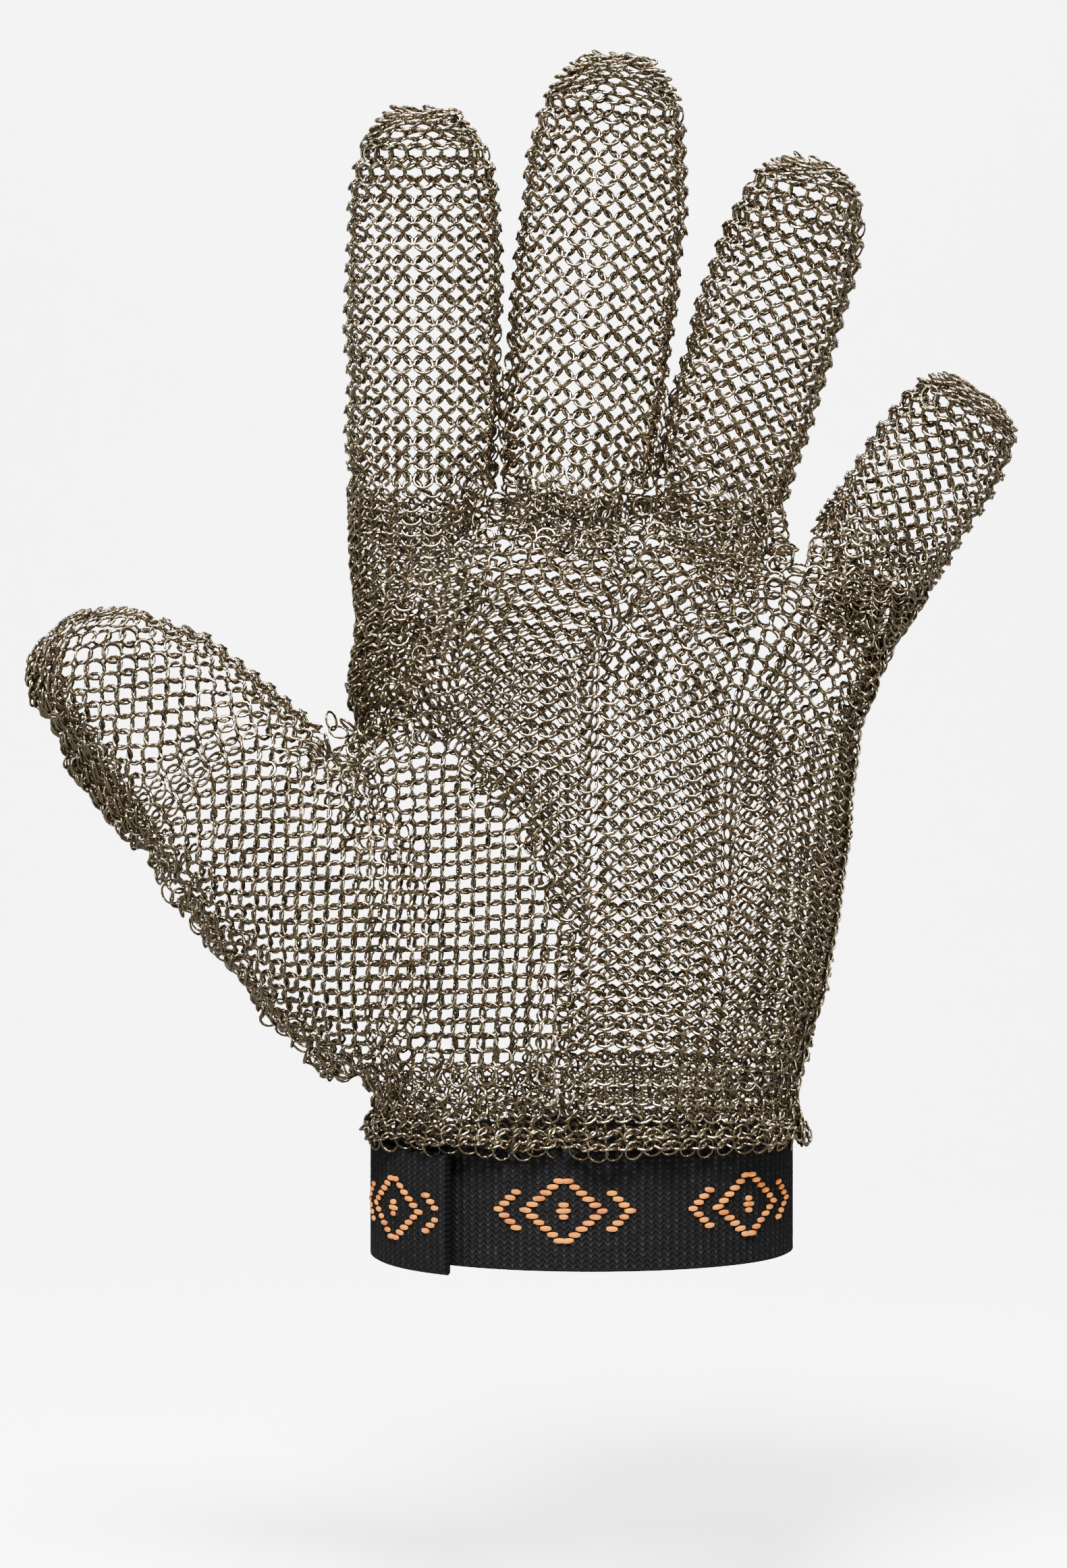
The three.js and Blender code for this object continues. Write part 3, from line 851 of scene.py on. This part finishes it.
def motif_mesh(name, material, settings):
    """The woven motif's floats, each a flattened thread end to end in the outer face."""
    clear_selection()
    bpy.ops.mesh.primitive_uv_sphere_add(segments=8, ring_count=6, radius=0.5)
    points, faces = take_shape()
    degrees, lengths = strap_lengths()
    rng = np.random.default_rng(SEED)
    verts, polys = [], []
    period = settings.motif_pitch / MM
    total = lengths[-1]
    middle_z = STRAP["tall"] / 2
    first = (total - 12.5) % period
    for centre in np.arange(first, total, period):
        for offset, height, size in motif_places():
            at = centre + offset
            if at < 2 or at > total - 1.6:
                continue
            d = float(np.interp(at, lengths, degrees))
            wobble = rng.normal(0, 1, 4)
            flat, n = strap_point(d, STRAP["thick"] + 0.1)
            tangent = np.array([-n[1], n[0]])
            long = size + 0.12 * wobble[0]
            tilt = 0.05 * wobble[1]
            x = points[:, 0] * long
            x = np.sign(x) * np.minimum(np.abs(x) * 1.15, long / 2)
            z = points[:, 2] * 0.92 + x * tilt
            y = points[:, 1] * (0.62 + 0.05 * wobble[2])
            base = len(verts)
            for px, py, pz in zip(x, y, z):
                flat_at = flat + tangent * px + n * py
                level = middle_z + height + pz - strap_drop(d)
                verts.append((flat_at[0] * MM, flat_at[1] * MM, level * MM))
            polys += [tuple(base + i for i in f) for f in faces]
    piece = mesh_piece(name, verts, polys, material)
    piece.data.polygons.foreach_set("use_smooth", np.ones(len(polys), bool))
    face_outwards(piece)
    return piece


# ---- materials
def new_material(name, **inputs):
    """A material, its node tree and its shader with the given inputs."""
    material = bpy.data.materials.new(name)
    material.use_nodes = True
    tree = material.node_tree
    shader = tree.nodes["Principled BSDF"]
    for key, value in inputs.items():
        shader.inputs[key].default_value = value
    return material, tree, shader


def add(tree, kind, **values):
    """A new node with its attributes and inputs set."""
    node = tree.nodes.new(kind)
    for key, value in values.items():
        if hasattr(node, key):
            setattr(node, key, value)
        else:
            node.inputs[key].default_value = value
    return node


def texture(tree, kind, **values):
    """A texture node on Object coordinates."""
    node = add(tree, kind, **values)
    coords = add(tree, "ShaderNodeTexCoord")
    tree.links.new(coords.outputs["Object"], node.inputs["Vector"])
    return node


def colour_ramp(tree, value, *stops):
    """The colour read at a socket's value between two stops of a position and a colour."""
    ramp = add(tree, "ShaderNodeValToRGB")
    for element, (position, colour) in zip(ramp.color_ramp.elements, stops):
        element.position = position
        element.color = (*colour, 1)
    tree.links.new(value, ramp.inputs["Fac"])
    return ramp.outputs["Color"]


def spread(tree, value, **limits):
    """A socket's value mapped from one range to another."""
    node = add(tree, "ShaderNodeMapRange")
    for key, limit in limits.items():
        node.inputs[key.replace("_", " ").title()].default_value = limit
    tree.links.new(value, node.inputs["Value"])
    return node.outputs["Result"]


def emboss(tree, shader, height, strength, distance, invert=False):
    """Bump on a shader from a socket's height."""
    node = add(tree, "ShaderNodeBump", Strength=strength, Distance=distance, invert=invert)
    tree.links.new(height, node.inputs["Height"])
    tree.links.new(node.outputs["Normal"], shader.inputs["Normal"])


def scaled(colour, *factors):
    """A colour with each channel times its factor, or all times one."""
    factors = factors * 3 if len(factors) == 1 else factors
    return tuple(channel * factor for channel, factor in zip(colour, factors))


def wire_material(settings):
    """Drawn wire of steel, a little different from ring to ring, with dirt. Its dark warm colour is
    partly the steel's own and partly a painted reflection of a warm brown surround.
    """
    material, tree, shader = new_material("drawn_steel_wire", Metallic=1.0)
    tone = add(tree, "ShaderNodeAttribute", attribute_name="tone")
    light = settings.wire_colour
    steel = colour_ramp(tree, tone.outputs["Fac"], (0, scaled(light, 0.72, 0.70, 0.66)), (1, light))
    dirt = texture(tree, "ShaderNodeTexNoise", Scale=160.0, Detail=3.0).outputs["Fac"]
    shade = spread(tree, dirt, from_min=0.35, from_max=0.65, to_min=0.74, to_max=1.0)
    mix = add(tree, "ShaderNodeMix", data_type="RGBA", blend_type="MULTIPLY")
    mix.inputs["Factor"].default_value = 1.0
    tree.links.new(steel, mix.inputs["A"])
    tree.links.new(shade, mix.inputs["B"])
    tree.links.new(mix.outputs["Result"], shader.inputs["Base Color"])
    tree.links.new(spread(tree, dirt, to_min=0.07, to_max=0.18), shader.inputs["Roughness"])
    return material


def webbing_material(settings):
    """Black webbing: slanted stitches up each rib, with painted light on the raised stitches and
    rib crests, painted shade in the grooves between, and dusty flecks.
    """
    finish = {"Roughness": 0.78, "Specular IOR Level": 0.06}
    material, tree, shader = new_material("black_ribbed_webbing", **finish)
    coords = add(tree, "ShaderNodeTexCoord")
    uv = add(tree, "ShaderNodeSeparateXYZ")
    tree.links.new(coords.outputs["UV"], uv.inputs["Vector"])
    rib = settings.rib_pitch * UV_SCALE
    stitch_height = 0.0095

    def math_node(operation, a, b=None):
        node = add(tree, "ShaderNodeMath", operation=operation)
        for socket, value in zip(node.inputs, (a, b)):
            if value is None:
                continue
            if isinstance(value, (int, float)):
                socket.default_value = value
            else:
                tree.links.new(value, socket)
        return node.outputs[0]

    across = math_node("DIVIDE", uv.outputs["X"], rib)
    saw = math_node("PINGPONG", math_node("FRACT", across), 0.5)
    rise = math_node("DIVIDE", uv.outputs["Y"], stitch_height)
    slant = math_node("ADD", rise, math_node("MULTIPLY", saw, 1.3))
    stitch = math_node("PINGPONG", slant, 0.5)
    height = math_node("ADD", math_node("MULTIPLY", stitch, 1.2), math_node("MULTIPLY", saw, 1.2))
    fibre = texture(tree, "ShaderNodeTexNoise", Scale=5200.0, Detail=4.0)
    height = math_node("ADD", height, math_node("MULTIPLY", fibre.outputs["Fac"], 0.5))
    emboss(tree, shader, height, 0.9, 0.00022)
    fleck = texture(tree, "ShaderNodeTexNoise", Scale=900.0, Detail=2.0)
    dust = math_node("ADD", fleck.outputs["Fac"], 0.2)
    # Painted highlight and shade: the colour is lighter on the raised stitches and rib crests and
    # darker in the grooves, made patchy by the dust flecks.
    painted_rib_light_and_dust = math_node("MULTIPLY", math_node("ADD", stitch, saw), dust)
    black = settings.webbing_colour
    colour = colour_ramp(tree, painted_rib_light_and_dust, (0.45, scaled(black, 0.4)), (0.75, scaled(black, 2.2)))
    tree.links.new(colour, shader.inputs["Base Color"])
    return material


def thread_material(settings):
    """Thick orange thread with darker patches and a fine twist."""
    finish = {"Roughness": 0.6, "Specular IOR Level": 0.2}
    material, tree, shader = new_material("orange_float_thread", **finish)
    twist = texture(tree, "ShaderNodeTexWave", Scale=900.0, Distortion=3.0)
    emboss(tree, shader, twist.outputs["Fac"], 0.5, 0.0001)
    patch = texture(tree, "ShaderNodeTexNoise", Scale=420.0, Detail=3.0).outputs["Fac"]
    orange = settings.thread_colour
    colour = colour_ramp(tree, patch, (0.35, scaled(orange, 0.62, 0.42, 0.4)), (0.6, orange))
    tree.links.new(colour, shader.inputs["Base Color"])
    return material


def hook_material():
    """Dark hook tape: a field of tiny stubs."""
    finish = {"Roughness": 0.6, "Base Color": (0.02, 0.02, 0.023, 1)}
    material, tree, shader = new_material("dark_hook_tape", **finish)
    stubs = texture(tree, "ShaderNodeTexVoronoi", Scale=1400.0)
    emboss(tree, shader, stubs.outputs["Distance"], 0.8, 0.0003, invert=True)
    return material


def pale_material():
    """Plain pale paper for the floor and the wall behind."""
    material, tree, shader = new_material("pale_paper", Roughness=0.9)
    grain = texture(tree, "ShaderNodeTexNoise", Scale=60.0, Detail=4.0).outputs["Fac"]
    colour = colour_ramp(tree, grain, (0, (0.86, 0.86, 0.86)), (1, (0.9, 0.9, 0.9)))
    tree.links.new(colour, shader.inputs["Base Color"])
    return material


# ---- add-on
def length_setting(name, description, default):
    return bpy.props.FloatProperty(
        name=name, description=description, default=default, unit="LENGTH"
    )


def colour_setting(name, description, default):
    return bpy.props.FloatVectorProperty(
        name=name, description=description, default=default, subtype="COLOR"
    )


class GloveSettings(bpy.types.PropertyGroup):
    ring_outside: length_setting("Ring size", "Outside diameter of one ring", 0.004)
    wire: length_setting("Wire", "Thickness of the rings' wire", 0.0006)
    ring_sides: bpy.props.IntProperty(
        name="Ring sides", description="Straight pieces round each ring", default=12, min=8
    )
    wire_sides: bpy.props.IntProperty(
        name="Wire sides", description="Sides of the wire's section", default=4, min=3
    )
    # Steel colour, darker and browner than bare steel: the brown tint is partly a painted
    # reflection of a warm brown surround.
    wire_colour: colour_setting("Wire colour", "Colour of the steel", (0.28, 0.232, 0.155))


class StrapSettings(bpy.types.PropertyGroup):
    rib_pitch: length_setting("Rib pitch", "Distance between the webbing's ribs", 0.0015)
    motif_pitch: length_setting("Motif pitch", "Distance between woven motifs", 0.034)
    webbing_colour: colour_setting("Webbing colour", "Colour of the band", (0.003, 0.003, 0.0034))
    thread_colour: colour_setting("Thread colour", "Colour of the woven motif", (0.28, 0.085, 0.0))


class StageSettings(bpy.types.PropertyGroup):
    distance: length_setting("Camera distance", "From the hand's middle plane", 0.52)
    focal: bpy.props.FloatProperty(
        name="Focal length", description="In millimetres, on a 36 mm high sensor", default=66.5
    )


class GLOVE_OT_rings(bpy.types.Operator):
    """Lay linked rings over the hand, the fingers and the thumb"""

    bl_idname = "glove.rings"
    bl_label = "Ring mesh"

    def execute(self, context):
        settings = context.scene.glove_rings
        shape = link_shape(settings)
        steel = wire_material(settings)
        whole = surface_tree(HAND_NODES + STALL_NODES)
        trees = {name: surface_tree((f"{name}_mail",)) for name in STALLS}
        for name, spot in STALLS.items():
            gather = 0.5 if name == "little" else 0.15
            centres, turns = stall_rings(trees[name], spot, FINGER_PITCH, ROOT_GAP, gather)
            ring_piece(f"{name}_rings", centres, turns, shape, steel, f"{name}_mail")

        def crowd(place):
            return 2.2 * float(smoothstep(place, 3, 16))

        thumb = surface_tree(("thumb_mail",))
        centres, turns = stall_rings(thumb, THUMB, THUMB_PITCH, THUMB_GAP, 0.0, crowd, slack=0.9)
        ring_piece("thumb_rings", centres, turns, shape, steel, "thumb_mail")
        hand = palm_and_back_rings(whole, trees)
        hand.update(thumb_root_rings(whole, thumb))
        hand["crotch_rings"] = crotch_rings(whole)
        for name, (centres, turns) in hand.items():
            node = "back_mail" if "back" in name else "palm_mail"
            ring_piece(name, centres, turns, shape, steel, node)
        return {"FINISHED"}


class GLOVE_OT_strap(bpy.types.Operator):
    """Weave the wrist strap with its motif, and finish the hidden hook patch"""

    bl_idname = "glove.strap"
    bl_label = "Wrist strap"

    def execute(self, context):
        settings = context.scene.glove_strap
        band = strap_mesh("strap_webbing", webbing_material(settings), settings)
        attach(band, "root")
        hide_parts("wrist_strap")
        motif = motif_mesh("strap_motif", thread_material(settings), settings)
        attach(motif, "root")
        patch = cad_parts["hook_patch"]
        patch.data.materials.clear()
        patch.data.materials.append(hook_material())
        return {"FINISHED"}


class GLOVE_OT_stage(bpy.types.Operator):
    """Set the pale floor and wall, the soft lights and the camera"""

    bl_idname = "glove.stage"
    bl_label = "Stage"

    def execute(self, context):
        settings = context.scene.glove_stage
        # floor, then a quarter turn about (bend, rise), then wall, as (y, z)
        floor, bend, rise, radius, half_width = -0.07, 0.55, 0.33, 0.4, 2.6
        profile = [(-2.2, floor), (bend, floor)]
        for a in np.radians(range(10, 91, 10)):
            profile.append((bend + radius * math.sin(a), rise - radius * math.cos(a)))
        profile.append((0.95, 2.4))
        verts, faces = [], []
        for y, z in profile:
            verts += [(-half_width, y, z), (half_width, y, z)]
        for i in range(0, 2 * len(profile) - 2, 2):
            faces.append((i, i + 1, i + 3, i + 2))
        sheet = mesh_piece("paper_sweep", verts, faces, pale_material())
        sheet.data.polygons.foreach_set("use_smooth", [True] * len(faces))
        sheet.visible_glossy = False

        world = bpy.data.worlds.new("studio")
        context.scene.world = world
        world.use_nodes = True
        background = world.node_tree.nodes["Background"]
        background.inputs["Color"].default_value = (1.0, 0.99, 0.97, 1)
        background.inputs["Strength"].default_value = 0.55

        def softbox(name, place, aim, size, power, colour=(1, 1, 1)):
            bpy.ops.object.light_add(type="AREA", location=place)
            lamp = context.object
            lamp.name = name
            lamp.data.shape = "RECTANGLE"
            lamp.data.size, lamp.data.size_y = size
            lamp.data.energy = power
            lamp.data.color = colour
            direction = Vector(aim) - Vector(place)
            lamp.rotation_euler = direction.to_track_quat("-Z", "Y").to_euler()

        warm = (1, 0.97, 0.93)
        softbox("top_softbox", (-0.1, -0.5, 0.9), (0, 0, 0.12), (0.3, 0.25), 90.0)
        softbox("right_softbox", (0.75, -0.55, 0.35), (0, 0, 0.1), (0.10, 0.5), 10.0, warm)
        softbox("left_softbox", (-0.8, -0.45, 0.3), (0, 0, 0.1), (0.10, 0.5), 10.0)
        softbox("wall_light", (0, 0.35, 1.3), (0, 0.95, 0.25), (1.6, 0.4), 55.0)

        camera_data = bpy.data.cameras.new("photo_camera")
        camera = new_object("photo_camera", camera_data)
        camera_data.sensor_fit = "VERTICAL"
        camera_data.sensor_height = 36.0
        camera_data.lens = settings.focal
        camera_data.clip_start = 0.01
        camera.location = (EYE[0] * MM, -settings.distance, EYE[2] * MM)
        camera.rotation_euler = (math.pi / 2, 0, 0)
        context.scene.camera = camera
        return {"FINISHED"}


class GLOVE_PT_panel(bpy.types.Panel):
    """The steps that dress the glove"""

    bl_label = "Ring mesh glove"
    bl_idname = "GLOVE_PT_panel"
    bl_space_type = "VIEW_3D"
    bl_region_type = "UI"
    bl_category = "Glove"

    def draw(self, context):
        for step in (GLOVE_OT_rings, GLOVE_OT_strap, GLOVE_OT_stage):
            self.layout.operator(step.bl_idname)


CLASSES = (
    GloveSettings,
    StrapSettings,
    StageSettings,
    GLOVE_OT_rings,
    GLOVE_OT_strap,
    GLOVE_OT_stage,
    GLOVE_PT_panel,
)


def register():
    for item in CLASSES:
        bpy.utils.register_class(item)
    bpy.types.Scene.glove_rings = bpy.props.PointerProperty(type=GloveSettings)
    bpy.types.Scene.glove_strap = bpy.props.PointerProperty(type=StrapSettings)
    bpy.types.Scene.glove_stage = bpy.props.PointerProperty(type=StageSettings)


def unregister():
    del bpy.types.Scene.glove_stage
    del bpy.types.Scene.glove_strap
    del bpy.types.Scene.glove_rings
    for item in reversed(CLASSES):
        bpy.utils.unregister_class(item)


def main():
    register()
    bpy.ops.glove.stage()
    bpy.ops.glove.rings()
    bpy.ops.glove.strap()


if __name__ == "__main__":
    main()
